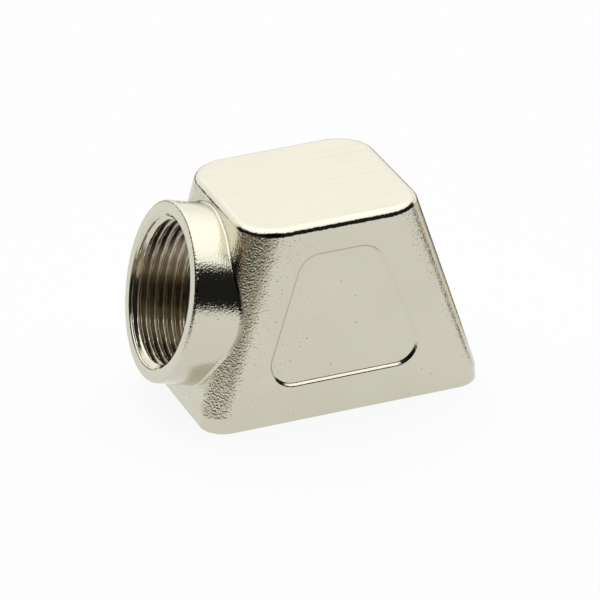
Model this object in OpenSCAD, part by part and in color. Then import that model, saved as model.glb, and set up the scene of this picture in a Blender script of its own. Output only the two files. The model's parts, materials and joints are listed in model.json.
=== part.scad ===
// Hood of a rectangular plug connector: a die-cast shell with an open mouth, leaning ends and a
// threaded cable entry in one of them. The mouth lies in the plane z = 0 and its middle is the
// origin. The cable entry looks towards -X and a little up. Sizes are in millimetres.

/* [Body] */
// Length of the shell at the mouth
body_l = 47.4; // [42:0.1:70]
// Width of the shell at the mouth
body_w = 32; // [30:0.1:50]
// Height from the mouth to the top
body_h = 33.7; // [32:0.1:50]
// Height of the upright rim round the mouth
rim_h = 2.6; // [2:0.1:5]
// Lean of both ends, in degrees from upright
end_lean = 15.3; // [5:0.1:20]
// Draft of the long sides, in degrees from upright
side_draft = 0.6; // [0:0.1:2]
// Radius of the four upright edges at the rim
edge_r_base = 4.3; // [3.5:0.1:6]
// Radius of the four upright edges at the top
edge_r_top = 6.9; // [5:0.1:9]
// Fillet round the top face
top_fillet = 1.4; // [0.4:0.1:2]
// Thickness of the walls, measured level
wall = 2.4; // [1.6:0.1:3]

/* [Cable entry] */
// Nominal diameter of the metric thread
thread_d = 25; // [16:1:26]
// Pitch of the thread
thread_pitch = 1.5; // [1:0.25:2]
// Length of the threaded wall, from the face of the collar
thread_len = 11; // [9.5:0.1:13]
// Wall of the collar outside the nominal thread diameter
collar_wall = 2.3; // [1.5:0.05:2.6]
// How far the collar stands out of the leaning end
collar_len = 6.2; // [4:0.05:8]
// Rounding of the outer edge of the collar
collar_edge = 0.45; // [0.1:0.05:0.8]
// Fillet where the collar grows out of the shell
collar_fillet = 0.45; // [0.2:0.05:0.6]
// How much wider than the thread the countersink is
countersink_over = 0.3; // [0:0.1:1]
// Wall round the thread inside the shell, outside the nominal diameter
inner_wall = 1.7; // [1:0.1:2.5]
// How far the axis of the entry sits below the middle of the leaning end
entry_drop = 0.24; // [0:0.02:0.5]

/* [Front panel] */
// Depth of the recess in the front face
panel_depth = 0.45; // [0.3:0.05:1.2]
// Run of the sloping wall round the recess
panel_slope = 0.45; // [0.2:0.05:1]
// Gap between the rim and the lower edge of the recess
panel_low_gap = 3.6; // [2:0.1:8]
// Gap between the top of the shell and the upper edge of the recess
panel_high_gap = 5; // [3:0.05:8]
// Gap between the rounded edges of the shell and the sides of the recess
panel_side_gap = 3.65; // [2:0.05:6]
// Radius of the lower corners of the recess
panel_r_low = 4.1; // [1.5:0.1:5]
// Radius of the upper corners of the recess
panel_r_high = 4.2; // [1.5:0.1:5]

/* [Insert fixing] */
// Height of the seat for the contact insert above the mouth
seat_h = 4; // [3:0.1:5]
// Diameter of the tapped holes before tapping
tap_d = 2.5; // [2:0.1:3]
// Depth of the tapped holes above the seat
tap_depth = 5; // [4:0.1:5.5]
// Material round and above each tapped hole
boss_wall = 1.6; // [1.2:0.1:2.5]
// Distance of each tapped hole from the inner walls at the mouth
boss_inset = 2.5; // [2:0.1:4]

/* [Hidden] */

nickel = [0.80, 0.78, 0.70];

// How far a cutting shape runs past the surface that it opens, and how far a joined one sinks in
overrun = 1;
sink = 0.03;

// Facets of a full circle: exact round shapes, and the rounded edges of the shell
round_facets = 96;
edge_facets = 32;
fillet_facets = 24;
fillet_sections = 72;
fillet_steps = 5;

// Shell: half sizes and edge radius at a level
function rise(z) = max(z - rim_h, 0);
function half_l(z) = body_l / 2 - rise(z) * tan(end_lean);
function half_w(z) = body_w / 2 - rise(z) * tan(side_draft);
function edge_r(z) = edge_r_base + (edge_r_top - edge_r_base) * rise(z) / (body_h - rim_h);

// Level distance of a point from the side walls of the shell, negative inside
function outside(p) =
  let (
    r = edge_r(p.z),
    past_l = abs(p.x) - half_l(p.z) + r,
    past_w = abs(p.y) - half_w(p.z) + r
  )
  norm([max(past_l, 0), max(past_w, 0)]) + min(max(past_l, past_w), 0) - r;

// Reach of the top fillet's centre line, so that the fillet is tangent to a leaning wall
function top_reach(half, lean) =
  half - (body_h - top_fillet - rim_h) * tan(lean) - top_fillet / cos(lean);

// Cable entry: its frame stands on the leaning end, with depth counted inwards
slope_l = (body_h - rim_h) / cos(end_lean);
entry_height = slope_l / 2 - entry_drop;
entry_up = [sin(end_lean), 0, cos(end_lean)];
entry_out = [-cos(end_lean), 0, sin(end_lean)];
entry_foot = [-body_l / 2, 0, rim_h] + entry_height * entry_up;

// Basic profile of the metric thread: its crests stand 5/8 of the sharp triangle inside
thread_height = 5 / 8 * thread_pitch * sqrt(3) / 2;
bore_r = thread_d / 2 - thread_height;
countersink_r = (thread_d + countersink_over) / 2;
collar_r = thread_d / 2 + collar_wall;
inner_boss_r = thread_d / 2 + inner_wall;
collar_root = edge_r_top;
inner_depth = thread_len - collar_len;

// Insert fixing: the pattern of tapped holes
cavity_top = body_h - wall;
screw_x = body_l / 2 - wall - boss_inset;
screw_y = body_w / 2 - wall - boss_inset;
boss_r = tap_d / 2 + boss_wall;
boss_h = tap_depth + boss_wall;

// Front panel: its sides run along the rounded edges of the shell
flat_slope = tan(end_lean) + (edge_r_top - edge_r_base) / (body_h - rim_h);
panel_lean = atan(flat_slope);
panel_low = rim_h + panel_low_gap;
panel_high = body_h - panel_high_gap;
function panel_side(z) = body_l / 2 - edge_r_base - rise(z) * flat_slope - panel_side_gap;

// Copies for the four corners of the shell
module four_corners() {
  for (mx = [0, 1], my = [0, 1])
    mirror([mx, 0, 0]) mirror([0, my, 0]) children();
}

// Frame of the cable entry: +Z out of the collar, +X up the leaning end
module at_entry() {
  translate(entry_foot) rotate([0, end_lean - 90, 0]) children();
}

// Outside of the shell: upright rim, leaning ends, edges that grow rounder towards the top
module shell_outside() {
  top_ring = edge_r_top - top_fillet;
  hull() four_corners() {
    translate([body_l / 2 - edge_r_base, body_w / 2 - edge_r_base, 0])
      cylinder(r = edge_r_base, h = rim_h, $fn = edge_facets);
    translate([
      top_reach(body_l / 2, end_lean) - top_ring,
      top_reach(body_w / 2, side_draft) - top_ring,
      body_h - top_fillet
    ])
      rotate_extrude($fn = edge_facets) translate([top_ring, 0])
        circle(r = top_fillet, $fn = fillet_facets);
  }
}

// Hollow of the shell, open at the mouth
module cavity() {
  top_r = edge_r(cavity_top);
  hull() four_corners() {
    translate([body_l / 2 - edge_r_base, body_w / 2 - edge_r_base, -overrun])
      cylinder(r = edge_r_base - wall, h = overrun + rim_h, $fn = edge_facets);
    translate([half_l(cavity_top) - top_r, half_w(cavity_top) - top_r, cavity_top - sink])
      cylinder(r = top_r - wall, h = sink, $fn = edge_facets);
  }
}

// Collar of the cable entry, with a rounded outer edge, rooted in the shell
module collar() {
  at_entry() rotate_extrude($fn = round_facets) polygon(concat(
    [[0, collar_len], [0, -collar_root], [collar_r, -collar_root]],
    [for (a = [0 : 15 : 90])
      [collar_r - collar_edge + collar_edge * cos(a), collar_len - collar_edge + collar_edge * sin(a)]]
  ));
}

// Point of the entry's frame, from a radius, an angle round the axis and a depth
function entry_point(radius, angle, depth) =
  entry_foot + radius * (cos(angle) * entry_up + sin(angle) * [0, 1, 0]) - depth * entry_out;

// Depth at which a line along the entry meets the shell, by halving the interval that holds it
function shell_depth(radius, angle, near = -1, far = edge_r_top, halvings = 20) =
  let (middle = (near + far) / 2)
  halvings == 0 ? middle
  : outside(entry_point(radius, angle, middle)) > 0
    ? shell_depth(radius, angle, middle, far, halvings - 1)
    : shell_depth(radius, angle, near, middle, halvings - 1);

// Section of the collar's fillet at an angle: a curve tangent to the collar and to the shell, as
// points of radius and depth, closed inside the two
function fillet_section(angle) =
  let (
    foot_r = collar_r + collar_fillet,
    corner = [collar_r - sink, shell_depth(collar_r, angle)],
    start = corner - [0, collar_fillet],
    foot = [foot_r, shell_depth(foot_r, angle) + sink],
    buried = [0, overrun]
  )
  concat(
    [for (i = [0 : fillet_steps])
      let (t = i / fillet_steps)
      (1 - t) * (1 - t) * start + 2 * t * (1 - t) * corner + t * t * foot],
    [foot + buried, foot + buried - [collar_fillet + overrun, 0], start - [overrun, 0]]
  );

// Fillet between the collar and the shell, swept round the collar along their meeting line
module collar_blend() {
  sections = [for (i = [0 : fillet_sections - 1])
    let (angle = 360 * i / fillet_sections)
    [for (p = fillet_section(angle)) entry_point(p.x, angle, p.y)]];
  count = len(sections[0]);
  polyhedron(
    points = [for (section = sections) each section],
    faces = [for (i = [0 : fillet_sections - 1], j = [0 : count - 1], half = [0, 1])
      let (
        a = i * count + j,
        b = i * count + (j + 1) % count,
        c = (i + 1) % fillet_sections * count + j,
        d = (i + 1) % fillet_sections * count + (j + 1) % count
      )
      half == 0 ? [a, c, b] : [b, c, d]]
  );
}

// Bore at the crests of the thread, right through the end, with its countersink
module entry_bore() {
  sinking = countersink_r - bore_r;
  at_entry() {
    translate([0, 0, -inner_depth - overrun])
      cylinder(r = bore_r, h = thread_len + 2 * overrun, $fn = round_facets);
    translate([0, 0, collar_len - sinking])
      cylinder(r1 = bore_r, r2 = countersink_r + overrun, h = sinking + overrun, $fn = round_facets);
  }
}

// Thickening round the inner end of the thread
module inner_boss() {
  at_entry() translate([0, 0, -inner_depth])
    cylinder(r = inner_boss_r, h = inner_depth, $fn = round_facets);
}

// Bosses in the four corners that carry the tapped holes, run into the walls
module screw_bosses() {
  rib = 0.7 * boss_r;
  into_wall = boss_inset + overrun;
  four_corners() translate([screw_x, screw_y, seat_h]) {
    cylinder(r = boss_r, h = boss_h, $fn = round_facets);
    translate([-rib, -rib, 0]) cube([rib + into_wall, rib + into_wall, boss_h]);
  }
}

// Blind tapped holes, at the diameter before tapping
module screw_holes() {
  four_corners() translate([screw_x, screw_y, seat_h - overrun])
    cylinder(d = tap_d, h = tap_depth + overrun, $fn = round_facets);
}

// Hollow as cast: the bosses stand in it, above the seat of the insert
module cast_hollow() {
  difference() {
    cavity();
    difference() {
      union() {
        inner_boss();
        screw_bosses();
      }
      translate([-body_l, -body_w, seat_h - body_h]) cube([2 * body_l, 2 * body_w, body_h]);
    }
  }
}

// One corner of the front recess: a cone that widens outwards from the floor of the recess
module panel_corner(side, z, r) {
  widening = panel_slope / panel_depth;
  x = panel_side(z) - r / cos(panel_lean);
  translate([side * x, panel_depth - half_w(z), z]) rotate([90, 0, 0])
    cylinder(r1 = r - panel_slope, r2 = r + widening * overrun, h = panel_depth + overrun,
      $fn = edge_facets);
}

// Shallow recess in the front face, with drafted walls and round corners
module panel_recess() {
  hull() for (side = [-1, 1]) {
    panel_corner(side, panel_low + panel_r_low, panel_r_low);
    panel_corner(side, panel_high - panel_r_high, panel_r_high);
  }
}

// The hood, cast in one piece
module hood() {
  color(nickel) difference() {
    union() {
      shell_outside();
      collar();
      collar_blend();
    }
    cast_hollow();
    entry_bore();
    screw_holes();
    panel_recess();
  }
}

hood();
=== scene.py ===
# %% [markdown]
# # A die-cast connector hood
# The object is the hood of a rectangular plug connector: one zinc casting, nickel plated, with an
# open mouth below, two leaning ends and a threaded entry for the cable. The CAD frame holds its
# sizes and its collision. This lesson makes the surface that the eye meets: the same form with a
# true thread, soft cast edges and the fine grain of a plated casting.

# %% Load the frame
import json

import bmesh
import bpy
import numpy as np
from mathutils import Matrix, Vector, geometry


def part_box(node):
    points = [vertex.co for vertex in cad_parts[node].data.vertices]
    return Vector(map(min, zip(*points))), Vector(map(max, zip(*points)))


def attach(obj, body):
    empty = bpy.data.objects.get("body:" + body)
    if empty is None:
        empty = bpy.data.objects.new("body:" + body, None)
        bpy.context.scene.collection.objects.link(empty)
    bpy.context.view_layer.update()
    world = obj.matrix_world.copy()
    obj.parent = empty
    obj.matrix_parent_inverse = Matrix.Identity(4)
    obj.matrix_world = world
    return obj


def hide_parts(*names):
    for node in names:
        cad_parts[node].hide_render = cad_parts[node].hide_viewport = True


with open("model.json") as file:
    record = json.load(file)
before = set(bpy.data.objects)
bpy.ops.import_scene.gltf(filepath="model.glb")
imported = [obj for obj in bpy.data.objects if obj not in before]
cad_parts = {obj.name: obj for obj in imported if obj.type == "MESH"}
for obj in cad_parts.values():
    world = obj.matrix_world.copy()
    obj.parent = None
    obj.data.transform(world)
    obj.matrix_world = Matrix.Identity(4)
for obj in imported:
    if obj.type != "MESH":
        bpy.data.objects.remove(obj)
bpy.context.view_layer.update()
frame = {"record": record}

MM = 0.001
scene = bpy.context.scene

# %% [markdown]
# ## Sizes
# The outer sizes and the cable entry come from the frame, so the skin can't drift from the solid
# that it stands for. The other sizes are those that the solid was drawn with. They are written in
# millimetres, and only the finished mesh is turned into metres.

# %% Sizes of the shell and of the cable entry
_, hood_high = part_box("hood")
BODY_L = 2 * hood_high[0] / MM
BODY_W = 2 * hood_high[1] / MM
BODY_H = 33.7
RIM_H = 2.6
SIDE_DRAFT = np.radians(0.6)
EDGE_R_BASE = 4.3
EDGE_R_TOP = 6.9
TOP_FILLET = 1.4
WALL = 2.4

entry = {mount["name"]: mount for mount in frame["record"]["mounts"]}["cable_entry"]
ENTRY_OUT = np.array(entry["axis"]) / np.linalg.norm(entry["axis"])
ENTRY_SIDE = np.array([0.0, 1.0, 0.0])
ENTRY_UP = np.cross(ENTRY_SIDE, ENTRY_OUT)
END_LEAN = np.arcsin(ENTRY_OUT[2])
axis_point = np.array(entry["pos_m"]) / MM
rim_edge = np.array([-BODY_L / 2, 0, RIM_H])
ENTRY_FOOT = axis_point + ((rim_edge - axis_point) @ ENTRY_OUT) * ENTRY_OUT
BORE_R = entry["dims"]["r_mm"]
THREAD_R = 12.5
PITCH = 1.5
THREAD_LEN = 11.0
COLLAR_R = 14.8
COLLAR_LEN = 6.2
COUNTERSINK_R = 12.65
print("mouth", round(BODY_L, 2), "x", round(BODY_W, 2), "mm; entry stands at", ENTRY_FOOT.round(2))

# %% [markdown]
# ## Side walls
# A level cut through the shell is a rectangle with round corners. On the way up its ends lean in
# and its corners grow rounder, all in step with the height. So a point of the wall needs two
# numbers: its place round the shell, from 0 to 8, and its level. Even stretches are the flats
# (front, right, back, left) and odd ones are the rounded edges between them. Each upright line of
# such a wall is straight and its normal doesn't turn along it, which gives exact shading for free.

# %% The wall as a function of place and level
PLACES = np.arange(9)
CORNER_X = np.array([-1, 1, 1, 1, 1, -1, -1, -1, -1])
CORNER_Y = np.array([-1, -1, -1, 1, 1, 1, 1, -1, -1])
HEADING = np.radians([-90, -90, 0, 0, 90, 90, 180, 180, 270])
UP = np.array([0, 0, 1.0])


def level_sizes(level):
    """Half length, half width and edge radius of the level cut: linear above the rim."""
    rise = np.maximum(level - RIM_H, 0)
    growth = (EDGE_R_TOP - EDGE_R_BASE) / (BODY_H - RIM_H)
    half_l = BODY_L / 2 - rise * np.tan(END_LEAN)
    half_w = BODY_W / 2 - rise * np.tan(SIDE_DRAFT)
    return half_l, half_w, EDGE_R_BASE + rise * growth


def level_normal(place):
    """Level direction that the wall faces: it turns only along the rounded edges."""
    heading = np.interp(place, PLACES, HEADING)
    return np.stack([np.cos(heading), np.sin(heading), np.zeros_like(heading)], axis=-1)


def wall_point(place, level, inset=0.0):
    """Walk the rectangle of the edges' centres, then step out by the edge radius less the inset."""
    place, level = np.broadcast_arrays(np.asarray(place, float), np.asarray(level, float))
    half_l, half_w, radius = level_sizes(level)
    out = level_normal(place)
    x = np.interp(place, PLACES, CORNER_X) * (half_l - radius) + (radius - inset) * out[..., 0]
    y = np.interp(place, PLACES, CORNER_Y) * (half_w - radius) + (radius - inset) * out[..., 1]
    return np.stack([x, y, level], axis=-1)


def wall_lean(place):
    """Angle of the wall from upright: how fast it moves inwards as the level rises."""
    step = wall_point(place, RIM_H + 1.0) - wall_point(place, RIM_H)
    return np.arctan(-np.sum(step * level_normal(place), axis=-1))


def leaning_normal(place, lean):
    """Level normal tipped up by the lean."""
    lean = np.asarray(lean)[..., None]
    return level_normal(place) * np.cos(lean) + UP * np.sin(lean)


middles = np.array([0.5, 1.5, 2.5])
print("lean of the front, the edge and the end:", np.degrees(wall_lean(middles)).round(2))

# %% [markdown]
# ## A quilt of patches
# The skin is sewn from patches, each a grid of points that a formula gives. Where two patches meet
# they are given the same points, so a weld makes them one closed surface. Each patch also knows its
# exact normals: plated metal mirrors its surroundings, and a normal that is off by a degree shows.
# The last thing that a patch carries is its finish: blasted, finely blasted, turned, cut or ground.

# %% Helpers for patches
BLASTED, FINE, TURNED, CUT_AND_SHADED, GROUND = range(5)
patches = []


def grid_quads(rows, columns, closed):
    """Point numbers of the quads of a grid; a closed grid joins its last column to its first."""
    number = np.arange(rows * columns).reshape(rows, columns)
    if closed:
        number = np.concatenate([number, number[:, :1]], axis=1)
    corners = [number[:-1, :-1], number[:-1, 1:], number[1:, 1:], number[1:, :-1]]
    return np.stack(corners, axis=-1).reshape(-1, 4)


def add_faces(name, points, faces, normals, finish):
    """Keep one patch: points, faces as rows of point numbers, unit normals and finish."""
    normals = np.broadcast_to(normals, points.shape).reshape(-1, 3)
    patches.append((points.reshape(-1, 3), normals, faces, finish))
    print(f"{name}: {len(faces)} faces")


def add_cap(name, loop, normals, finish):
    """Keep a patch that is one face with a whole loop as its border."""
    add_faces(name, loop, np.arange(len(loop))[None], normals, finish)


def add_grid(name, points, normals, finish, closed):
    """Keep a patch that is a grid of rows and columns."""
    add_faces(name, points, grid_quads(*points.shape[:2], closed), normals, finish)


def curve_between(start, corner, stop, steps):
    """Quadratic curve from start to stop, tangent at both ends to the lines through the corner."""
    t = np.linspace(0, 1, steps + 1).reshape(-1, *[1] * np.ndim(start))
    return (1 - t) ** 2 * start + 2 * t * (1 - t) * corner + t ** 2 * stop


# %% [markdown]
# ## Rim and top
# The rim stands upright round the mouth. Its lower edge is broken by a small rounding, and a soft
# crease turns it into the leaning walls. On the top edge a ball rolls round the shell: at each
# place the fillet starts on the wall, at the wall's own lean, and ends level with the top. A Bevel
# modifier could round that edge, but it would not give the exact normals. The mouth is closed by a
# plain face for now, and is opened when the inside is cut out.

# %% Columns round the shell
FLAT_COLUMNS = 40
CORNER_COLUMNS = 20

stretches = [FLAT_COLUMNS, CORNER_COLUMNS] * 4
columns = np.concatenate([start + np.arange(count) / count for start, count in enumerate(stretches)])
lean = wall_lean(columns)
print(len(columns), "columns round the shell")

# %% Rim and its crease
RIM_EDGE = 0.25
RIM_EDGE_STEPS = 6
CREASE = 0.15
CREASE_STEPS = 5

wall_start = RIM_H + CREASE
turn = np.radians(np.linspace(-90, 0, RIM_EDGE_STEPS + 1))[:, None]
edge_level = RIM_EDGE * (1 + np.sin(turn)) + 0 * columns
edge_inset = RIM_EDGE * (1 - np.cos(turn))[..., None]
rim_edge_points = wall_point(columns, edge_level) - edge_inset * level_normal(columns)
rim_edge_normals = leaning_normal(columns, turn + 0 * columns)
crease_level = wall_start - 2 * CREASE, RIM_H, wall_start
crease_points = curve_between(*[wall_point(columns, level) for level in crease_level], CREASE_STEPS)
crease_lean = np.arctan(np.linspace(0, 1, CREASE_STEPS + 1)[:, None] * np.tan(lean))
rim_points = np.concatenate([rim_edge_points, crease_points])
rim_normals = np.concatenate([rim_edge_normals, leaning_normal(columns, crease_lean)])
add_grid("rim", rim_points, rim_normals, BLASTED, True)

# %% Rounded top edge, top and mouth
TOP_STEPS = 12


def wall_end(place):
    """Level at which the top fillet starts, so that its ball touches the wall and the top."""
    return BODY_H - TOP_FILLET * (1 - np.sin(wall_lean(place)))


fillet_lean = lean + np.linspace(0, 1, TOP_STEPS + 1)[:, None] * (np.pi / 2 - lean)
fillet_centre = wall_point(columns, wall_end(columns)) - TOP_FILLET * leaning_normal(columns, lean)
fillet_normals = leaning_normal(columns, fillet_lean)
fillet_points = fillet_centre + TOP_FILLET * fillet_normals
add_grid("top edge", fillet_points, fillet_normals, FINE, True)
add_cap("top", fillet_points[-1], UP, GROUND)
add_cap("mouth plane", rim_points[0], -UP, BLASTED)

# %% [markdown]
# The right end and the back are plain stretches of the wall, from the front right edge round to the
# back left one. Their upright lines are straight, so a plain grid of the wall's formula is exact. The
# two other sides carry the panel and the collar, and come next.

# %% Right end and back
WALL_ROWS = 48
height_share = np.linspace(0, 1, WALL_ROWS + 1)


def wall_level(place, share):
    """Level at a share of the way from the crease to the top fillet."""
    return wall_start + share * (wall_end(place) - wall_start)


plain = columns[(columns >= 1) & (columns <= 5)]
plain_points = wall_point(plain, wall_level(plain, height_share[:, None]))
plain_normals = leaning_normal(plain, wall_lean(plain))
add_grid("right end and back", plain_points, plain_normals, BLASTED, False)

# %% [markdown]
# ## Cable entry
# The collar grows out of the leaning end and runs into the rounded edges on both sides. Its skin is
# one grid that is carried round the entry's axis: it starts on the border of the end wall, crosses
# the wall to the foot of the collar, climbs the fillet and the collar, turns over its edge, crosses
# the face and goes down the threaded bore. The border has the points of its neighbours, and their
# angles round the axis set the columns of the whole grid.

# %% Border of the end wall and the angles round the entry
SMOOTHING = range(-3, 4)

left = np.concatenate([columns[columns >= 5], [8.0]])
side_rise = height_share[:-1]
border_place = np.concatenate([8 + 0 * side_rise, left[:0:-1], 5 + 0 * side_rise, left[:-1]])
border_share = np.concatenate([side_rise, 1 + 0 * left[1:], 1 - side_rise, 0 * left[1:]])
border = wall_point(border_place, wall_level(border_place, border_share)) - ENTRY_FOOT
raw_angle = np.sort(np.unwrap(np.arctan2(border @ ENTRY_SIDE, border @ ENTRY_UP)))
step = np.diff(np.append(raw_angle, raw_angle[0] + 2 * np.pi))
step = sum(np.roll(step, shift) for shift in SMOOTHING) / len(SMOOTHING)
angle = raw_angle[0] + np.cumsum(step) - step[0]
around = np.cos(angle)[:, None] * ENTRY_UP + np.sin(angle)[:, None] * ENTRY_SIDE
border_radius = np.sum(border * around, axis=-1)


def entry_point(radius, depth):
    """Point at a radius from the entry's axis and a depth behind the leaning end."""
    radius, depth = np.broadcast_arrays(radius, depth)
    return ENTRY_FOOT + radius[..., None] * around - depth[..., None] * ENTRY_OUT


print(len(angle), "columns round the entry")

# %% [markdown]
# The foot of the collar is where the cylinder of its fillet meets the wall. The end is flat in the
# middle and round at both sides, so no single formula gives that curve. A Boolean would find it, but
# with uneven points. Here lines along the entry are followed inwards until they meet the wall, by
# halving an interval, for all columns at once. Where the border is close, the fillet gets smaller.

# %% Foot of the collar on the wall
FILLET_RUN = 0.38
FILLET_SHARE = 0.6
HALVINGS = 45
OUTSIDE = -1.0
LEFT_MIDDLE = 6.5


def outside_wall(points):
    """Level distance from the walls, negative inside: a rounded rectangle at each level."""
    half_l, half_w, radius = level_sizes(points[..., 2])
    past_l = np.abs(points[..., 0]) - half_l + radius
    past_w = np.abs(points[..., 1]) - half_w + radius
    corner = np.hypot(np.maximum(past_l, 0), np.maximum(past_w, 0))
    return corner + np.minimum(np.maximum(past_l, past_w), 0) - radius


def wall_depth(radius):
    """Depth at which lines along the entry meet the wall, by halving the interval that holds it."""
    near, far = np.full(len(angle), OUTSIDE), np.full(len(angle), EDGE_R_TOP)
    for _ in range(HALVINGS):
        middle = (near + far) / 2
        free = outside_wall(entry_point(radius, middle)) > 0
        near, far = np.where(free, middle, near), np.where(free, far, middle)
    return far


def wall_place(points):
    """Place of points on the left end: a quarter turn of the heading is one stretch of an edge, and
    on the flat the place runs with the share of the way across."""
    x, y, level = np.moveaxis(points, -1, 0)
    half_l, half_w, radius = level_sizes(level)
    flat_w = half_w - radius
    heading = np.arctan2(y - np.clip(y, -flat_w, flat_w), x + half_l - radius) % (2 * np.pi)
    quarters = heading / (np.pi / 2)
    on_flat = LEFT_MIDDLE - y / (2 * flat_w)
    return np.select([y > flat_w, y < -flat_w], [quarters + 4, quarters + 5], on_flat)


run = np.minimum(FILLET_RUN, FILLET_SHARE * (border_radius - COLLAR_R))
foot_radius = COLLAR_R + run
foot = entry_point(foot_radius, wall_depth(foot_radius))
foot_place = wall_place(foot)
foot_share = (foot[:, 2] - wall_start) / (wall_end(foot_place) - wall_start)
print("fillet runs from", run.min().round(2), "to", run.max().round(2), "mm")

# %% [markdown]
# The wall round the collar is a sheet between two closed curves, its border and the foot of the
# collar. Straight lines between them would leave the rounded edges. Both curves are known as places
# round the shell and shares of its height, so the rows between are mixed from those two numbers,
# and every point lies on the wall.

# %% End wall between its border and the foot of the collar
END_ROWS = 12
t = np.linspace(0, 1, END_ROWS + 1)[:, None]
end_place = foot_place + t * (border_place - foot_place)
end_share = foot_share + t * (border_share - foot_share)
end_points = wall_point(end_place, wall_level(end_place, end_share))
end_normals = leaning_normal(end_place, wall_lean(end_place))
add_grid("left end", end_points, end_normals, BLASTED, True)

# %% [markdown]
# A casting fills every inner corner with a fillet, because a sharp one cracks. This one is a curve
# that leaves along the wall and arrives along the collar. Then come the barrel of the collar, its
# rounded edge and the flat face. A spun profile could make these three, but the foot lies at another
# depth in each column, so they keep the columns of the entry. The edge has the coarse grain, which
# makes the dark line on it ragged, and the barrel has the fine one.

# %% Fillet at the foot of the collar
FILLET_STEPS = 8


def grid_normals(points):
    """Normals of a grid that closes round its columns, from the differences along both ways."""
    along = np.gradient(points, axis=0)
    across = np.roll(points, -1, axis=1) - np.roll(points, 1, axis=1)
    normals = np.cross(across, along)
    return normals / np.linalg.norm(normals, axis=-1, keepdims=True)


foot_normal = end_normals[0]
steepness = np.sum(foot_normal * around, axis=-1) / (foot_normal @ ENTRY_OUT)
foot_depth = (ENTRY_FOOT - end_points[0]) @ ENTRY_OUT
corner_depth = foot_depth - steepness * run
blend_radius = curve_between(foot_radius, COLLAR_R + 0 * run, COLLAR_R + 0 * run, FILLET_STEPS)
blend_depth = curve_between(foot_depth, corner_depth, corner_depth - run, FILLET_STEPS)
blend_points = entry_point(blend_radius, blend_depth)
blend_normals = grid_normals(blend_points)
blend_normals *= np.sign(np.sum(blend_normals[-1] * around, axis=-1).mean())
blend_normals[0] = foot_normal
blend_normals[-1] = around
add_grid("collar fillet", blend_points, blend_normals, FINE, True)

# %% Collar, its rounded edge and its face
COLLAR_EDGE = 0.46
COLLAR_EDGE_STEPS = 8
BARREL_ROWS = 3
FACE_ROWS = 3

rise = np.linspace(0, 1, BARREL_ROWS + 1)[:, None]
barrel_depth = blend_depth[-1] + rise * (COLLAR_EDGE - COLLAR_LEN - blend_depth[-1])
add_grid("collar", entry_point(COLLAR_R, barrel_depth), around, FINE, True)

turn = np.radians(np.linspace(0, 90, COLLAR_EDGE_STEPS + 1))[:, None] + 0 * angle
edge_radius = COLLAR_R - COLLAR_EDGE * (1 - np.cos(turn))
edge_depth = COLLAR_EDGE * (1 - np.sin(turn)) - COLLAR_LEN
edge_normals = np.cos(turn)[..., None] * around + np.sin(turn)[..., None] * ENTRY_OUT
add_grid("collar edge", entry_point(edge_radius, edge_depth), edge_normals, BLASTED, True)

face_radius = np.linspace(COLLAR_R - COLLAR_EDGE, COUNTERSINK_R, FACE_ROWS + 1)[:, None] + 0 * angle
add_grid("collar face", entry_point(face_radius, -COLLAR_LEN), ENTRY_OUT, TURNED, True)

# %% [markdown]
# ## Thread
# A thread could be a swept triangle, but inside a bore it is simpler to let the radius follow the
# helix: at each depth and angle, the place within one pitch says whether the wall is on a crest, on
# a flank or in the root. The root is flat for an eighth of the pitch, as in the basic metric
# profile, and the crest for a little less than that profile's quarter. The first turn starts at a
# set share of the way round. The countersink is a cone, and the larger radius of the two counts. The
# lathe that faced the collar also left its finish on the cone and the first turn, which keep the
# plain nickel colour; deeper in, the thread is darker and browner, which is painted shade.

# %% Radius of the threaded bore and its countersink
CREST = 0.18
ROOT = 0.125
FIRST_TURN = 0.383
PLAIN_END = 0.4


def thread_radius(depth, turned, pitch, crest_r, root_r):
    """Radius of a right-hand internal thread at a depth and an angle: crest, flank or root."""
    phase = (depth / pitch + turned / (2 * np.pi)) % 1
    from_crest = np.abs(2 * phase - 1)
    flank = np.clip((from_crest - CREST) / (1 - ROOT - CREST), 0, 1)
    return crest_r + flank * (root_r - crest_r)


def bore_radius(depth, turned):
    """Thread that runs out near its inner end, or the countersink's cone where that is wider."""
    run_out = np.clip((THREAD_LEN - PLAIN_END - depth) / PITCH, 0, 1)
    turned = turned + 2 * np.pi * FIRST_TURN
    thread = BORE_R + run_out * (thread_radius(depth, turned, PITCH, BORE_R, THREAD_R) - BORE_R)
    return np.maximum(thread, COUNTERSINK_R - depth)


print("the thread is", round(THREAD_R - BORE_R, 2), "mm high and its pitch", PITCH, "mm")

# %% Threaded bore
ROWS_PER_PITCH = 20
BORE_OVERRUN = 0.6
LEAD_IN = 1.35
TINY = 0.01

depth = np.arange(0, THREAD_LEN + BORE_OVERRUN, PITCH / ROWS_PER_PITCH)[:, None] + 0 * angle
radius = bore_radius(depth, angle)
along_bore = (bore_radius(depth + TINY, angle) - bore_radius(depth - TINY, angle)) / (2 * TINY)
round_bore = (bore_radius(depth, angle + TINY) - bore_radius(depth, angle - TINY)) / (2 * TINY)
round_bore = round_bore / radius
sideways = np.cos(angle)[:, None] * ENTRY_SIDE - np.sin(angle)[:, None] * ENTRY_UP
bore_normals = round_bore[..., None] * sideways - around - along_bore[..., None] * ENTRY_OUT
bore_normals /= np.linalg.norm(bore_normals, axis=-1, keepdims=True)
bore_points = entry_point(radius, depth - COLLAR_LEN)
# Past the lead-in the thread is cut, and its finish carries painted shade of the bore's inside.
bore_finish = np.where(depth[:-1] < LEAD_IN, TURNED, CUT_AND_SHADED).ravel()
add_grid("thread", bore_points, bore_normals, bore_finish, True)
add_cap("end of the bore", bore_points[-1], -ENTRY_OUT, CUT_AND_SHADED)

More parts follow.
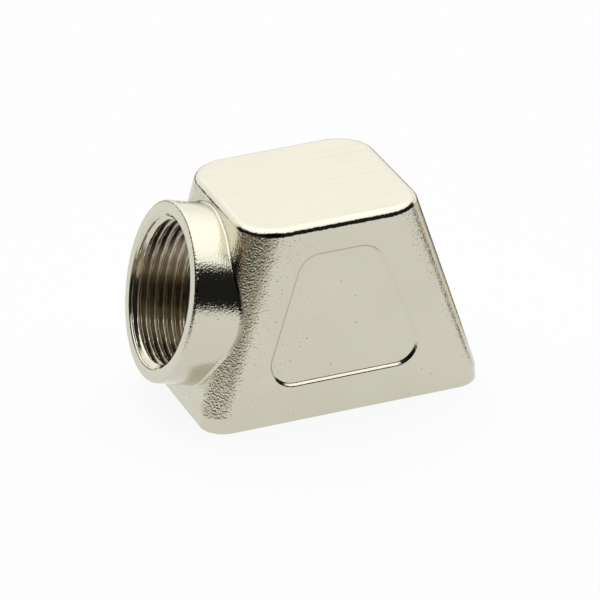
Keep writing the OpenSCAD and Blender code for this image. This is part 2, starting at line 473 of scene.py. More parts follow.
# %% [markdown]
# ## Recessed panel
# The front carries a shallow recess with drafted walls. Its outline is a trapezoid with round
# corners, and the rest is a short profile carried along that outline: over the outer edge, down the
# slope, into the floor. The flat front round it has a straight border and a round hole, which a
# constrained triangulation fills.

# %% Outline of the recess
PANEL_LOW = RIM_H + 3.6
PANEL_HIGH = BODY_H - 5.0
PANEL_SIDE_GAP = 3.65
PANEL_R_LOW = 4.1
PANEL_R_HIGH = 4.2
ARC_POINTS = 28


def panel_corner(level, radius):
    """Place of a corner's centre: its circle touches the side line of the panel."""
    x_low, x_high = wall_point(1.0, RIM_H)[0], wall_point(1.0, BODY_H)[0]
    slope = (x_low - x_high) / (BODY_H - RIM_H)
    side = x_low - (level - RIM_H) * slope - PANEL_SIDE_GAP
    return side - radius * np.hypot(1, slope), np.arctan(slope)


low_x, panel_lean = panel_corner(PANEL_LOW + PANEL_R_LOW, PANEL_R_LOW)
high_x, _ = panel_corner(PANEL_HIGH - PANEL_R_HIGH, PANEL_R_HIGH)


def corner_arc(x, level, radius, start, stop):
    """Points of one round corner, its centre plus radius times direction, and the directions."""
    heading = np.linspace(start, stop, ARC_POINTS)
    out = np.stack([np.cos(heading), np.sin(heading)], axis=-1)
    return np.array([x, level]) + radius * out, out


quarter = np.pi / 2
arcs = [
    corner_arc(low_x, PANEL_LOW + PANEL_R_LOW, PANEL_R_LOW, -quarter, panel_lean),
    corner_arc(high_x, PANEL_HIGH - PANEL_R_HIGH, PANEL_R_HIGH, panel_lean, quarter),
    corner_arc(-high_x, PANEL_HIGH - PANEL_R_HIGH, PANEL_R_HIGH, quarter, 2 * quarter - panel_lean),
    corner_arc(-low_x, PANEL_LOW + PANEL_R_LOW, PANEL_R_LOW, 2 * quarter - panel_lean, 3 * quarter),
]
outline = np.concatenate([points for points, _ in arcs])
outline_out = np.concatenate([out for _, out in arcs])
print("outline of the recess:", len(outline), "points")

# %% Profile of the recess
PANEL_DEPTH = 0.45
PANEL_SLOPE = 0.45
BROW_SOFT = 0.16
TOE_SOFT = 0.12
SOFT_STEPS = 6

slope_way = np.array([-PANEL_SLOPE, PANEL_DEPTH]) / np.hypot(PANEL_SLOPE, PANEL_DEPTH)
foot_corner = np.array([-PANEL_SLOPE, PANEL_DEPTH])
toe_start, toe_stop = foot_corner - TOE_SOFT * slope_way, foot_corner - [TOE_SOFT, 0]
brow = curve_between(np.array([BROW_SOFT, 0]), np.zeros(2), BROW_SOFT * slope_way, SOFT_STEPS)
toe = curve_between(toe_start, foot_corner, toe_stop, SOFT_STEPS)
profile = np.concatenate([brow, toe])
profile_way = np.gradient(profile, axis=0)
profile_way[[0, -1]] = -1, 0
profile_way[[SOFT_STEPS, SOFT_STEPS + 1]] = slope_way
profile_out = np.stack([-profile_way[:, 1], profile_way[:, 0]], axis=-1)
profile_out /= np.linalg.norm(profile_out, axis=-1, keepdims=True)
print("profile of the recess:", len(profile), "points")

# %% [markdown]
# The profile is carried along the outline: each of its points steps out or in along the outline's
# own direction and down by its depth. A cut with bevelled edges would look much the same, but its
# normals would be guessed from faces. The floor is one flat face inside the last loop.

# %% Recess and its floor
front_normal = leaning_normal(np.array(0.5), wall_lean(np.array(0.5)))


def front_point(flat, depth):
    """Point of the front face, from its place across and its level, sunk by a depth."""
    y = depth - level_sizes(flat[..., 1])[1]
    return np.stack([flat[..., 0], y, flat[..., 1]], axis=-1)


recess_flat = outline + profile[:, None, :1] * outline_out
recess = front_point(recess_flat, np.broadcast_to(profile[:, None, 1], recess_flat.shape[:2]))
across = np.stack([outline_out[:, 0], 0 * outline_out[:, 0], outline_out[:, 1]], axis=-1)
recess_normals = profile_out[:, None, :1] * across - profile_out[:, None, 1:] * front_normal
add_grid("recess", recess, recess_normals, FINE, True)
add_cap("recess floor", recess[-1], front_normal, BLASTED)

# %% [markdown]
# The front is flat, so it needs no points of its own: its straight border and the first loop of the
# recess are joined by triangles. Ear clipping could do that too, but the constrained triangulation
# gives better triangles. Those that cover the recess are left out.

# %% Front round the recess
INSIDE = 1
SAME_POINT = 1e-6


def loop_edges(numbers):
    """Edges of a closed loop: each point number with the next one."""
    return np.column_stack([numbers, np.roll(numbers, -1)])


front = columns[columns <= 1]
front_place = np.concatenate([front[:-1], 1 + 0 * side_rise, front[:0:-1], 0 * side_rise])
front_share = np.concatenate([0 * front[1:], side_rise, 1 + 0 * front[1:], 1 - side_rise])
front_border = wall_point(front_place, wall_level(front_place, front_share))
sheet = np.concatenate([front_border, recess[0]])
loops = np.split(np.arange(len(sheet)), [len(front_border)])
seams = np.concatenate([loop_edges(loop) for loop in loops]).tolist()
filled = geometry.delaunay_2d_cdt(sheet[:, [0, 2]].tolist(), seams, [], INSIDE, SAME_POINT)
triangles = np.array(filled[2])
over_recess = np.all(triangles >= len(front_border), axis=1)
add_faces("front", sheet, triangles[~over_recess], front_normal, BLASTED)

# %% [markdown]
# ## Sewing the skin
# Points that lie together become one point. Where the patches at a point agree on its normal, that
# normal is kept for the shading. Where they don't, as on the sharp edge of the countersink, Blender
# works it out later from the faces.

# %% Weld the patches into one closed mesh
WELD = 1e-4
AGREEMENT = 0.999


def weld_patches():
    """Points in the same cell of a fine grid become one, and their normals are averaged."""
    points, normals = (np.concatenate([patch[part] for patch in patches]) for part in (0, 1))
    starts = np.cumsum([0] + [len(patch[0]) for patch in patches])
    cells = np.round(points / WELD).astype(np.int64)
    _, first, owner = np.unique(cells, axis=0, return_index=True, return_inverse=True)
    owner = owner.reshape(-1)
    shared = np.zeros((len(first), 3))
    np.add.at(shared, owner, normals)
    shared /= np.bincount(owner)[:, None]
    agreed = np.linalg.norm(shared, axis=1, keepdims=True) > AGREEMENT
    renumbered = [owner[start + patch[2]].tolist() for patch, start in zip(patches, starts)]
    faces = [face for rows in renumbered for face in rows]
    finish = np.concatenate([np.full(len(patch[2]), patch[3]) for patch in patches])
    return points[first], faces, finish, np.where(agreed, shared, 0)


def solid(name, points, faces, finish):
    """Closed mesh in millimetres, its faces turned outwards and its borders counted."""
    mesh = bpy.data.meshes.new(name)
    mesh.from_pydata(points, [], faces)
    kept = mesh.attributes.new("finish", "INT", "FACE")
    kept.data.foreach_set("value", np.broadcast_to(finish, len(faces)).astype(np.int32))
    made = bmesh.new()
    made.from_mesh(mesh)
    bmesh.ops.recalc_face_normals(made, faces=made.faces)
    open_edges = sum(not edge.is_manifold for edge in made.edges)
    print(f"{name}: {len(faces)} faces, {open_edges} open edges, {made.calc_volume():.0f} cubic mm")
    made.to_mesh(mesh)
    made.free()
    piece = bpy.data.objects.new(name, mesh)
    scene.collection.objects.link(piece)
    return piece


points, faces, finish, exact_normals = weld_patches()
hood = solid("hood_casting", points, faces, finish)
kept = hood.data.attributes.new("exact_normal", "FLOAT_VECTOR", "POINT")
kept.data.foreach_set("vector", exact_normals.astype(np.float32).ravel())

# %% [markdown]
# ## Hollow inside
# The casting is a shell: a core of steel forms its inside and is drawn out through the mouth, so
# the cavity follows the walls at one thickness and narrows upwards. Round the cable entry a boss
# stays for the thread, and in the corners of the mouth stand four pillars with tapped holes, to
# which the contact insert is screwed. The core is made first, with those forms cut out of it, and
# is then taken from the casting.

# %% Core of the casting
CORE_TOP = BODY_H - WALL
CORE_ROUND = 1.2
MOUTH_CHAMFER = 0.3
CORE_STEPS = 6


def stacked(name, stacks, finish):
    """Closed mesh from stacks of loops (rows x columns x 3), each with a flat cap at both ends."""
    faces, start = [], 0
    for loops in stacks:
        rows, count = loops.shape[:2]
        number = np.arange(start, start + rows * count)
        faces += number[grid_quads(rows, count, True)].tolist()
        faces += [number[:count].tolist(), number[-count:].tolist()]
        start += rows * count
    return solid(name, np.concatenate([loops.reshape(-1, 3) for loops in stacks]), faces, finish)


turn = np.radians(np.linspace(0, 90, CORE_STEPS + 1))
mouth_level = [-2 * MOUTH_CHAMFER, MOUTH_CHAMFER, RIM_H]
mouth_inset = [WALL - 3 * MOUTH_CHAMFER, WALL, WALL]
core_level = np.concatenate([mouth_level, CORE_TOP - CORE_ROUND * (1 - np.sin(turn))])
core_inset = np.concatenate([mouth_inset, WALL + CORE_ROUND * (1 - np.cos(turn))])
core_loops = wall_point(columns, core_level[:, None], core_inset[:, None])
core = stacked("core", [core_loops], BLASTED)

# %% [markdown]
# Inside, the entry stands in a boss that gives its thread enough metal. It is a cylinder round the
# entry's axis, cut off level with the seat of the insert. What is taken from the core stays in the
# casting. A Boolean modifier does the cut, because nothing in there is seen as a mirror.

# %% Boss round the entry
SEAT_H = 4.0
INNER_BOSS_R = 14.2
INNER_DEPTH = 4.8
FAR = 60
corners = np.array([[-1, -1], [1, -1], [1, 1], [-1, 1]])


def take_away(piece, tool):
    """Cut one closed mesh out of another with a Boolean modifier, and keep the result."""
    step = piece.modifiers.new("cut", "BOOLEAN")
    step.operation = "DIFFERENCE"
    step.solver = "MANIFOLD"
    step.object = tool
    worked_out = piece.evaluated_get(bpy.context.evaluated_depsgraph_get())
    piece.data = bpy.data.meshes.new_from_object(worked_out)
    piece.modifiers.clear()
    bpy.data.objects.remove(tool)


def block(low, high):
    """Loops of a plain block between two opposite corners."""
    low, high = np.array(low), np.array(high)
    outline = np.where(corners > 0, high[:2], low[:2])
    return np.stack([np.column_stack([outline, np.full(4, level)]) for level in (low[2], high[2])])


boss_depth = np.array([OUTSIDE, INNER_DEPTH])[:, None] + 0 * angle
boss = stacked("entry_boss", [entry_point(INNER_BOSS_R, boss_depth)], BLASTED)
below_seat = block((-FAR, -FAR, -FAR), (FAR, FAR, SEAT_H))
take_away(boss, stacked("below_seat", [below_seat], BLASTED))
take_away(core, boss)

# %% [markdown]
# The contact insert is screwed to four pillars. Each is a round post that a rib ties to the corner
# behind it, as a moulder would draw it, so that the metal flows and nothing stands alone. They start
# at the seat of the insert, a little way inside the mouth.

# %% Pillars in the corners of the mouth
SCREW_INSET = 2.5
SCREW_X = BODY_L / 2 - WALL - SCREW_INSET
SCREW_Y = BODY_W / 2 - WALL - SCREW_INSET
PILLAR_R = 2.85
PILLAR_H = 6.6
PILLAR_COLUMNS = 32
RIB = 0.7 * PILLAR_R
INTO_WALL = 3.5

screw_places = corners * [SCREW_X, SCREW_Y]
turned = np.linspace(0, 2 * np.pi, PILLAR_COLUMNS, endpoint=False)
round_way = np.stack([np.cos(turned), np.sin(turned), 0 * turned], axis=-1)


def upright(radius, level):
    """Loops round a vertical axis at the origin, from a radius and a level for each row."""
    radius, level = np.broadcast_arrays(radius, level, turned)[:2]
    return radius[..., None] * round_way + level[..., None] * UP


def at_screws(loops):
    """The same loops at each of the four screws."""
    return [loops + np.append(place, 0) for place in screw_places]


pillar = upright(PILLAR_R, np.array([SEAT_H, SEAT_H + PILLAR_H])[:, None])
take_away(core, stacked("pillars", at_screws(pillar), BLASTED))
rib = block((-RIB, -RIB, SEAT_H), (INTO_WALL, INTO_WALL, SEAT_H + PILLAR_H))
ribs = [rib * np.append(way, 1) + np.append(place, 0) for way, place in zip(corners, screw_places)]
take_away(core, stacked("ribs", ribs, BLASTED))
take_away(hood, core)
print("screws", round(2 * SCREW_X, 2), "x", round(2 * SCREW_Y, 2), "mm apart")

# %% [markdown]
# The pillars' holes are tapped for small screws. They get the same thread formula as the entry, with
# a short cone at the mouth and a plain bore for the last pitch, where the tap's tip ends. They are
# cut out of the finished casting, as a tap would do it.

# %% Tapped holes for the insert's screws
TAP_R = 1.25
TAP_ROOT_R = 1.5
TAP_PITCH = 0.5
TAP_ROWS_PER_PITCH = 8
TAP_DEPTH = 5.0
CONE = 0.35
CLEAR = 0.5

tap_depth = np.arange(0, TAP_DEPTH + TINY, TAP_PITCH / TAP_ROWS_PER_PITCH)[:, None]
tap = thread_radius(tap_depth, turned, TAP_PITCH, TAP_R, TAP_ROOT_R)
tap = np.where(tap_depth > TAP_DEPTH - TAP_PITCH, TAP_R, tap)
tap = np.maximum(tap, TAP_ROOT_R + CONE / 2 - tap_depth)
mouth_row = upright(TAP_ROOT_R + CONE / 2 + CLEAR, SEAT_H - CLEAR)[None]
tap_loops = np.concatenate([mouth_row, upright(tap, SEAT_H + tap_depth)])
take_away(hood, stacked("tapped_holes", at_screws(tap_loops), CUT_AND_SHADED))
print("hood:", len(hood.data.polygons), "faces")
print("kept with them:", [item.name for item in hood.data.attributes])

# %% [markdown]
# ## Shading normals and real size
# The points that the cuts left alone still carry their exact normals. The new ones on the inside
# get normals from their faces, with a break at every edge that turns by more than a little. At the
# end the mesh is scaled to metres, so that the object itself stays at the origin and unscaled.

# %% Exact normals, sharp inner edges, metres
BREAK_ANGLE = np.radians(32)


def point_vectors(mesh, name):
    """One vector attribute of all the mesh's points as an array, a row for each point."""
    values = np.zeros(len(mesh.vertices) * 3, np.float32)
    mesh.attributes[name].data.foreach_get("vector", values)
    return values.reshape(-1, 3)


skin = hood.data
skin.name = "hood_casting"
place_mm = point_vectors(skin, "position")
exact_normals = point_vectors(skin, "exact_normal")
skin.attributes.remove(skin.attributes["exact_normal"])
skin.vertices.foreach_set("co", (place_mm * MM).ravel())
skin.shade_smooth()
skin.set_sharp_from_angle(angle=BREAK_ANGLE)
skin.normals_split_custom_set_from_vertices(exact_normals)
skin.update()
known = np.any(exact_normals != 0, axis=1)
print("points with exact normals:", known.sum(), "of", len(known))

finish = np.zeros(len(skin.polygons), np.int32)
skin.attributes["finish"].data.foreach_get("value", finish)
skin.attributes.remove(skin.attributes["finish"])
print("faces of each finish:", np.bincount(finish))

# %% [markdown]
# ## Finishes
# The casting is blasted with fine beads, then plated with nickel: a warm white metal with a dull
# sheen and a fine grain that makes its reflections sparkle. A picture could carry that grain, but a
# noise in the object's own coordinates needs no unwrapping and is equally fine on every side. There
# are five finishes of the one metal. Most of the skin is blasted, more coarsely towards the entry's
# end. The barrel of the collar, the top edge and the walls of the recess have a finer grain. The
# face of the collar is turned on a lathe, so its marks run round the entry's axis. The threads are
# cut last, and their colour is darker and browner, which is painted shade of the bores' inside. The
# top was ground flat, which leaves faint straight lines.

# %% Helpers for shader nodes
NICKEL = (0.625, 0.605, 0.495, 1)
# Darker, browner nickel of the cut threads: painted shade of the bores' inside.
NICKEL_IN_PAINTED_SHADE = (0.5, 0.445, 0.365, 1)


def add_node(tree, kind, **settings):
    """Add a node; a setting is one of its properties or, by name, one of its inputs."""
    made = tree.nodes.new("ShaderNode" + kind)
    for name, value in settings.items():
        if hasattr(made, name):
            setattr(made, name, value)
        else:
            made.inputs[name.replace("_", " ")].default_value = value
    return made


def link(tree, source, target):
    """Join two sockets of a node tree."""
    tree.links.new(source, target)


def calculate(tree, operation, first, second):
    """A Math node; its two inputs are sockets or numbers."""
    made = add_node(tree, "Math", operation=operation)
    for socket, value in zip(made.inputs, (first, second)):
        if isinstance(value, (int, float)):
            socket.default_value = value
        else:
            link(tree, value, socket)
    return made.outputs["Value"]


def calculate_vector(tree, operation, first, second):
    """A Vector Math node with a socket and a constant vector."""
    made = add_node(tree, "VectorMath", operation=operation)
    link(tree, first, made.inputs[0])
    made.inputs[1].default_value = second
    return made.outputs[0]


def ramp(tree, value, low, high, start=0.0, stop=1.0):
    """Map a value smoothly from the range low to high to the range start to stop."""
    made = add_node(tree, "MapRange", interpolation_type="SMOOTHSTEP", From_Min=low, From_Max=high)
    made.inputs["To Min"].default_value = start
    made.inputs["To Max"].default_value = stop
    link(tree, value, made.inputs["Value"])
    return made.outputs["Result"]


def new_group(name, inputs, outputs):
    """Empty node group with its own sockets, and its input and output nodes."""
    group = bpy.data.node_groups.new(name, "ShaderNodeTree")
    for socket, kind in inputs.items():
        group.interface.new_socket(socket, in_out="INPUT", socket_type="NodeSocket" + kind)
    for socket in outputs:
        group.interface.new_socket(socket, in_out="OUTPUT", socket_type="NodeSocketFloat")
    return group, group.nodes.new("NodeGroupInput"), group.nodes.new("NodeGroupOutput")


# %% [markdown]
# The grain has three sizes: the dents of the beads, a few small pits that the casting left, and
# wide patches that are a little duller than the rest. The dents get deeper along the hood, towards
# the entry's end, where the skin looks coarser. Displacing the mesh would need millions of faces for
# them, so their height only tips the normals.

# %% Blasted grain as a node group
PIT_CELLS = 1300.0
PIT_BOTTOM = 0.08
PIT_RIM = 0.2
PATCHES_PER_METRE = 90.0
COARSE_FROM = 2 * MM
COARSE_TO = -14 * MM
COARSENESS = 1.6


def make_grain_group():
    """Height: a noise, less small round pits in a few cells of a cell pattern, times a factor that
    grows along the hood. Patches: a wide noise."""
    inputs = {"Vector": "Vector", "Grains per metre": "Float", "Pit share": "Float"}
    group, into, out = new_group("Blasted grain", inputs, ["Height", "Patches"])
    grain = add_node(group, "TexNoise", Detail=1.0, Roughness=0.5)
    dull = add_node(group, "TexNoise", Scale=PATCHES_PER_METRE, Detail=3.0)
    cells = add_node(group, "TexVoronoi", Scale=PIT_CELLS)
    cell_colour = add_node(group, "SeparateColor")
    for texture in (grain, dull, cells):
        link(group, into.outputs["Vector"], texture.inputs["Vector"])
    link(group, into.outputs["Grains per metre"], grain.inputs["Scale"])
    link(group, cells.outputs["Color"], cell_colour.inputs["Color"])
    near = ramp(group, cells.outputs["Distance"], PIT_BOTTOM, PIT_RIM, 1.0, 0.0)
    chosen = calculate(group, "LESS_THAN", cell_colour.outputs["Red"], into.outputs["Pit share"])
    pits = calculate(group, "MULTIPLY", near, chosen)
    height = calculate(group, "SUBTRACT", grain.outputs["Fac"], pits)
    along = add_node(group, "SeparateXYZ")
    link(group, into.outputs["Vector"], along.inputs["Vector"])
    coarse = ramp(group, along.outputs["X"], COARSE_TO, COARSE_FROM, COARSENESS, 1.0)
    link(group, calculate(group, "MULTIPLY", height, coarse), out.inputs["Height"])
    link(group, dull.outputs["Fac"], out.inputs["Patches"])
    return group


grain_group = make_grain_group()
print("blasted grain:", len(grain_group.nodes), "nodes")

# %% [markdown]
# Marks of a tool are lines. On the ground top they are a noise that is stretched nearly a hundred
# times along the hood. On the lathe they are rings, so the noise only knows the distance from the
# axis. Wave textures would do for both, but their lines are evenly spaced, and a tool's never are.

# %% Ground lines and lathe rings as node groups
ACROSS_LINES = 2200.0
ALONG_LINES = 25.0
RINGS = 2600.0


def make_line_group():
    """Noise of the place, squeezed across the lines and stretched along them."""
    group, into, out = new_group("Ground lines", {"Vector": "Vector"}, ["Lines"])
    stretched = calculate_vector(group, "MULTIPLY", into.outputs["Vector"],
                                 (ALONG_LINES, ACROSS_LINES, ACROSS_LINES))
    noise = add_node(group, "TexNoise", Scale=1.0, Detail=2.0)
    link(group, stretched, noise.inputs["Vector"])
    link(group, noise.outputs["Fac"], out.inputs["Lines"])
    return group


def make_ring_group():
    """Noise of the distance from the entry's axis: the length of place cross axis."""
    group, into, out = new_group("Lathe rings", {"Vector": "Vector"}, ["Lines"])
    place = calculate_vector(group, "SUBTRACT", into.outputs["Vector"], ENTRY_FOOT * MM)
    sideways = calculate_vector(group, "CROSS_PRODUCT", place, ENTRY_OUT)
    distance = add_node(group, "VectorMath", operation="LENGTH")
    noise = add_node(group, "TexNoise", noise_dimensions="1D", Scale=RINGS, Detail=2.0)
    link(group, sideways, distance.inputs[0])
    link(group, distance.outputs["Value"], noise.inputs["W"])
    link(group, noise.outputs["Fac"], out.inputs["Lines"])
    return group


line_group, ring_group = make_line_group(), make_ring_group()
print("ground lines and lathe rings:", len(line_group.nodes), "and", len(ring_group.nodes), "nodes")

# %% [markdown]
# Every finish is the same metal: its shader is set once, and each one gets its own texture. The
# height of the texture tips the normals, and the patches make the metal duller and darker here and
# there, by a few parts in a hundred.

# %% A plated metal with one texture
DULLEST = 0.955
ROUGHNESS_RANGE = 0.3, 0.7
SHADE_RANGE = 0.25, 0.75
MIX_FIRST, MIX_SECOND, MIX_RESULT = 6, 7, 2


def add_group(tree, group, where):
    """Place a node group in a material, at the object's own coordinates."""
    made = tree.nodes.new("ShaderNodeGroup")
    made.node_tree = group
    link(tree, where, made.inputs["Vector"])
    return made


def shade_metal(name, colour, marks, height, smoothest, roughest, **settings):
    """Plated metal with one texture: normals from its height, colour and roughness from patches."""
    material = bpy.data.materials.new(name)
    material.use_nodes = True
    tree = material.node_tree
    shader = tree.nodes["Principled BSDF"]
    shader.inputs["Metallic"].default_value = 1
    where = add_node(tree, "TexCoord").outputs["Object"]
    texture = add_group(tree, marks, where)
    for socket, value in settings.items():
        texture.inputs[socket.replace("_", " ")].default_value = value
    grain = texture if marks == grain_group else add_group(tree, grain_group, where)
    bump = add_node(tree, "Bump", Strength=1.0, Distance=height)
    link(tree, texture.outputs[0], bump.inputs["Height"])
    link(tree, bump.outputs["Normal"], shader.inputs["Normal"])
    roughness = ramp(tree, grain.outputs["Patches"], *ROUGHNESS_RANGE, smoothest, roughest)
    link(tree, roughness, shader.inputs["Roughness"])
    tint = add_node(tree, "Mix", data_type="RGBA", blend_type="MULTIPLY")
    tint.inputs["Factor"].default_value = 1.0
    shade = texture.outputs[0] if marks != grain_group else grain.outputs["Patches"]
    tint.inputs[MIX_FIRST].default_value = colour
    link(tree, ramp(tree, shade, *SHADE_RANGE, DULLEST, 1.0), tint.inputs[MIX_SECOND])
    link(tree, tint.outputs[MIX_RESULT], shader.inputs["Base Color"])
    return material


# %% Five finishes of one metal
finishes = [
    shade_metal("blasted nickel", NICKEL, grain_group, height=6e-5, smoothest=0.08, roughest=0.12,
                Grains_per_metre=3000.0, Pit_share=0.03),
    shade_metal("fine blasted nickel", NICKEL, grain_group, height=1.9e-5, smoothest=0.08,
                roughest=0.12, Grains_per_metre=3500.0, Pit_share=0.03),
    shade_metal("turned nickel", NICKEL, ring_group, height=2e-6, smoothest=0.1, roughest=0.14),
    # The cut threads' darker, browner colour is painted shade of the bores' inside.
    shade_metal("cut nickel in painted shade", NICKEL_IN_PAINTED_SHADE, grain_group, height=1.5e-6, smoothest=0.15,
                roughest=0.19, Grains_per_metre=4000.0, Pit_share=0.0),
    shade_metal("ground nickel", NICKEL, line_group, height=2e-6, smoothest=0.12, roughest=0.18),
]
skin.materials.clear()
for material in finishes:
    skin.materials.append(material)
skin.polygons.foreach_set("material_index", finish)
print("finishes:", [material.name for material in finishes])

# %% [markdown]
# ## Set
# Polished metal shows its surroundings more than itself, so the set is built round what the skin
# mirrors: a pale table, a dark room, a lit backdrop behind and a wide soft light overhead, from
# which the top and the collar get their shine. The table is matt and keeps the hood's shadow. The
# camera and the reflections see it nearly white, which a plain white plane would be only under more
# light. From below it is clear, so that the mouth can be looked into.

# %% A matt face of the set
def matt_face(name, material_name, points, colour):
    """Object with one four-sided face and a material without gloss; its node tree comes with it."""
    mesh = bpy.data.meshes.new(name)
    mesh.from_pydata(points, [], [(0, 1, 2, 3)])
    material = bpy.data.materials.new(material_name)
    material.use_nodes = True
    matt = material.node_tree.nodes["Principled BSDF"]
    matt.inputs["Base Color"].default_value = (*colour, 1)
    matt.inputs["Roughness"].default_value = 1.0
    matt.inputs["Specular IOR Level"].default_value = 0.0
    mesh.materials.append(material)
    made = bpy.data.objects.new(name, mesh)
    scene.collection.objects.link(made)
    print(f"{name}: colour {colour}")
    return made, material.node_tree


# %% Pale floor
FLOOR_HALF = 0.35
FLOOR_COLOUR = 0.86, 0.86, 0.86
FLOOR_DROP = 2e-5
WHITE_SHARE = 0.9


def make_floor():
    """Flat square just below the rim: a share of it is plain white, and from below it is clear."""
    points = np.column_stack([corners * FLOOR_HALF, np.full(4, -FLOOR_DROP)])
    floor, tree = matt_face("floor", "pale floor", points, FLOOR_COLOUR)
    matt = tree.nodes["Principled BSDF"]
    white = add_node(tree, "Emission", Color=(1, 1, 1, 1), Strength=1.0)
    path = add_node(tree, "LightPath")
    seen = calculate(tree, "MAXIMUM", path.outputs["Is Camera Ray"], path.outputs["Is Glossy Ray"])
    seen = calculate(tree, "MAXIMUM", seen, path.outputs["Is Transmission Ray"])
    blend = add_node(tree, "MixShader")
    link(tree, calculate(tree, "MULTIPLY", seen, WHITE_SHARE), blend.inputs["Fac"])
    link(tree, matt.outputs["BSDF"], blend.inputs[1])
    link(tree, white.outputs["Emission"], blend.inputs[2])
    one_sided = add_node(tree, "MixShader")
    link(tree, add_node(tree, "NewGeometry").outputs["Backfacing"], one_sided.inputs["Fac"])
    link(tree, blend.outputs["Shader"], one_sided.inputs[1])
    link(tree, add_node(tree, "BsdfTransparent").outputs["BSDF"], one_sided.inputs[2])
    link(tree, one_sided.outputs["Shader"], tree.nodes["Material Output"].inputs["Surface"])


make_floor()

# %% [markdown]
# Lamps would each need a place, a size and a shape. All the light here comes from far away, so only
# its direction counts, and the world's strength is a formula of the direction. The overhead light is
# a round field with a soft edge and a brighter middle. The backdrop is a field behind the table that
# ends at a slightly tilted horizon. Where the camera stands, the metal mirrors a round dark spot.
# All the rest is the dark room.

# %% Directions of the light
def direction(azimuth, elevation):
    """Unit vector; the azimuth counts in degrees from the back towards the right."""
    azimuth, elevation = np.radians([azimuth, elevation])
    level = np.array([np.sin(azimuth), np.cos(azimuth), 0])
    return np.cos(elevation) * level + np.sin(elevation) * UP


def facing(tree, ray, way):
    """How far a ray points along a direction: the cosine between them."""
    made = add_node(tree, "VectorMath", operation="DOT_PRODUCT")
    link(tree, ray, made.inputs[0])
    made.inputs[1].default_value = way
    return made.outputs["Value"]


OVERHEAD_WAY = direction(29, 75)
BACKDROP_WAY = direction(16, 0)
HORIZON_WAY = direction(90, 84)
CAMERA_WAY = direction(-160, 40)
print("the middle of the overhead light stands towards", OVERHEAD_WAY.round(2))

# %% Dark room with a lit backdrop and a light overhead
ROOM = 0.016
OVERHEAD = 1.46
CENTRE = 1.2
BACKDROP = 1.25
OVERHEAD_EDGE = 0.56, 0.63
CENTRE_EDGE = 0.68, 0.9
BACKDROP_EDGE = 0.45, 0.6
HORIZON_EDGE = 0.0, 0.05
CAMERA_EDGE = 0.88, 0.92


def light_world():
    """Strength of a direction: the brighter of overhead light and backdrop, times the camera's spot.
    The edge of each field is a range of the cosine to its middle."""
    world = bpy.data.worlds.new("studio")
    world.use_nodes = True
    tree = world.node_tree
    ray = add_node(tree, "TexCoord").outputs["Generated"]
    height = facing(tree, ray, OVERHEAD_WAY)
    field = ramp(tree, height, *OVERHEAD_EDGE, ROOM, OVERHEAD)
    overhead = calculate(tree, "MULTIPLY", field, ramp(tree, height, *CENTRE_EDGE, 1.0, CENTRE))
    behind = ramp(tree, facing(tree, ray, BACKDROP_WAY), *BACKDROP_EDGE)
    above = ramp(tree, facing(tree, ray, HORIZON_WAY), *HORIZON_EDGE, ROOM, BACKDROP)
    backdrop = calculate(tree, "MULTIPLY", behind, above)
    camera_spot = ramp(tree, facing(tree, ray, CAMERA_WAY), *CAMERA_EDGE, 1.0, ROOM)
    strength = calculate(tree, "MAXIMUM", overhead, backdrop)
    strength = calculate(tree, "MULTIPLY", strength, camera_spot)
    link(tree, strength, tree.nodes["Background"].inputs["Strength"])
    tree.nodes["Background"].inputs["Color"].default_value = (1, 1, 1, 1)
    return world


scene.world = light_world()
print("world:", len(scene.world.node_tree.nodes), "nodes")

# %% [markdown]
# ## Cards
# The rounded edges, the collar and the bore also mirror what stands and lies round the table. At the
# left stand a brown card and a grey one. The table before them turns brown and then dark, where a
# dark card is painted shade of the table far from the overhead light; further round to the front it
# is grey and then pale, while a bright sheet lies towards the back. At the right lie a dark line,
# which is a painted shadow on the table, a tan sheet and a dark sheet. All of them are plain cards
# that only reflections see.
# The lying ones are wedges round an upright edge of the hood and fade out near it, because the table
# at the hood's foot is white. Painting these colours on the hood would be wrong from any other side.

# %% A card that only reflections see
LIE = 1e-4


def make_card(name, place, points, colour, fade=None):
    """Flat card that only reflections see; one that fades is clear near its own origin."""
    card, tree = matt_face(name, name, points, colour)
    card.location = (*place, LIE)
    if fade:
        distance = add_node(tree, "VectorMath", operation="LENGTH")
        link(tree, add_node(tree, "TexCoord").outputs["Object"], distance.inputs[0])
        clear_near = ramp(tree, distance.outputs["Value"], *fade)
        link(tree, clear_near, tree.nodes["Principled BSDF"].inputs["Alpha"])
    for kind in ("camera", "diffuse", "transmission", "shadow"):
        setattr(card, "visible_" + kind, False)


# %% Cards that stand at the left
CARD_HEIGHT = 0.055
CARD_CORNER = -0.32, -0.045
CARD_BACK = -0.32, 0.08
CARD_FRONT = -0.26, -0.34


def upright_card(name, start, stop, colour):
    """Card that stands on the table along a line."""
    points = [(*start, 0), (*stop, 0), (*stop, CARD_HEIGHT), (*start, CARD_HEIGHT)]
    make_card(name, (0, 0), points, colour)


upright_card("left card", CARD_CORNER, CARD_BACK, (0.62, 0.47, 0.35))
upright_card("front card", CARD_CORNER, CARD_FRONT, (0.26, 0.24, 0.2))

# %% Sheets that lie on the table
REACH = 0.3
LEFT_EDGE = -0.021, -0.0145
RIGHT_EDGE = 0.019, -0.014


def lying_wedge(name, edge, start, stop, fade, colour):
    """Card on the table between two azimuths, seen from the foot of an upright edge of the hood; it
    fades in over a range of distances from there."""
    near, far = fade[0] / 2, REACH
    points = [near * direction(start, 0), far * direction(start, 0),
              far * direction(stop, 0), near * direction(stop, 0)]
    make_card(name, edge, points, colour, fade)


lying_wedge("brown table", LEFT_EDGE, -64, -96, (0.06, 0.11), (0.32, 0.24, 0.17))
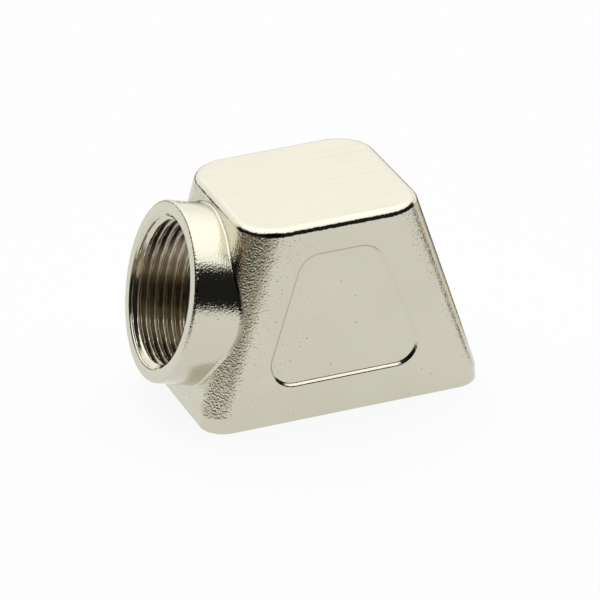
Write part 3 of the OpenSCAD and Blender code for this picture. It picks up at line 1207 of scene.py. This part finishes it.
# Painted shade: a dark card where the table lies far from the overhead light.
lying_wedge("table in painted shade", LEFT_EDGE, -94, -138, (0.09, 0.15), (0.1, 0.085, 0.065))
lying_wedge("grey table", LEFT_EDGE, -138, -155, (0.01, 0.05), (0.5, 0.48, 0.42))
lying_wedge("far table", LEFT_EDGE, -155, -176, (0.01, 0.05), (0.67, 0.65, 0.59))
lying_wedge("bright sheet", LEFT_EDGE, -12, -45, (0.11, 0.15), (0.97, 0.99, 0.95))
# Painted shadow: a dark line on the table at the right.
lying_wedge("painted shadow at the right", RIGHT_EDGE, 88, 77, (0.015, 0.03), (0.14, 0.13, 0.115))
lying_wedge("tan sheet", RIGHT_EDGE, 74, 51, (0.02, 0.045), (0.9, 0.81, 0.72))
lying_wedge("dark sheet", RIGHT_EDGE, 50, 12, (0.012, 0.03), (0.17, 0.155, 0.135))

# %% [markdown]
# ## Camera
# A product photograph is taken from far away with a long lens, so upright lines stay nearly
# parallel. The camera was fitted to the hood's outline: its direction, roll and distance, the point
# that it aims at, and a focal length in pixels of a square frame. A Track To constraint could aim
# it, but a matrix made of its three directions also holds the roll.

# %% Camera
AZIMUTH = np.radians(-19.682)
ELEVATION = np.radians(25.827)
ROLL = np.radians(-2.287)
DISTANCE = 850.3 * MM
FOCAL_PIXELS = 5233.2
FRAME_PIXELS = 600
SENSOR_MM = 36
CLIP_START = 0.01
AIM = np.array([-1.577, 0.025, 13.079]) * MM

level_way = np.array([np.sin(AZIMUTH), -np.cos(AZIMUTH), 0])
back = np.cos(ELEVATION) * level_way + np.sin(ELEVATION) * UP
right = np.array([np.cos(AZIMUTH), np.sin(AZIMUTH), 0])
up = np.cross(back, right)
right, up = np.cos(ROLL) * right + np.sin(ROLL) * up, np.cos(ROLL) * up - np.sin(ROLL) * right
camera_data = bpy.data.cameras.new("camera")
camera_data.sensor_width = SENSOR_MM
camera_data.lens = FOCAL_PIXELS / FRAME_PIXELS * SENSOR_MM
camera_data.clip_start = CLIP_START
camera = bpy.data.objects.new("camera", camera_data)
scene.collection.objects.link(camera)
pose = np.eye(4)
pose[:3, :3] = np.column_stack([right, up, back])
pose[:3, 3] = AIM + DISTANCE * back
camera.matrix_world = Matrix(pose)
scene.camera = camera
scene.view_settings.view_transform = "Standard"
print("camera:", round(camera_data.lens), "mm lens at", pose[:3, 3].round(3), "m")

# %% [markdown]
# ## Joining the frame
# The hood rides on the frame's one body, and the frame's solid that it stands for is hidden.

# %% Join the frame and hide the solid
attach(hood, "root")
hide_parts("hood")
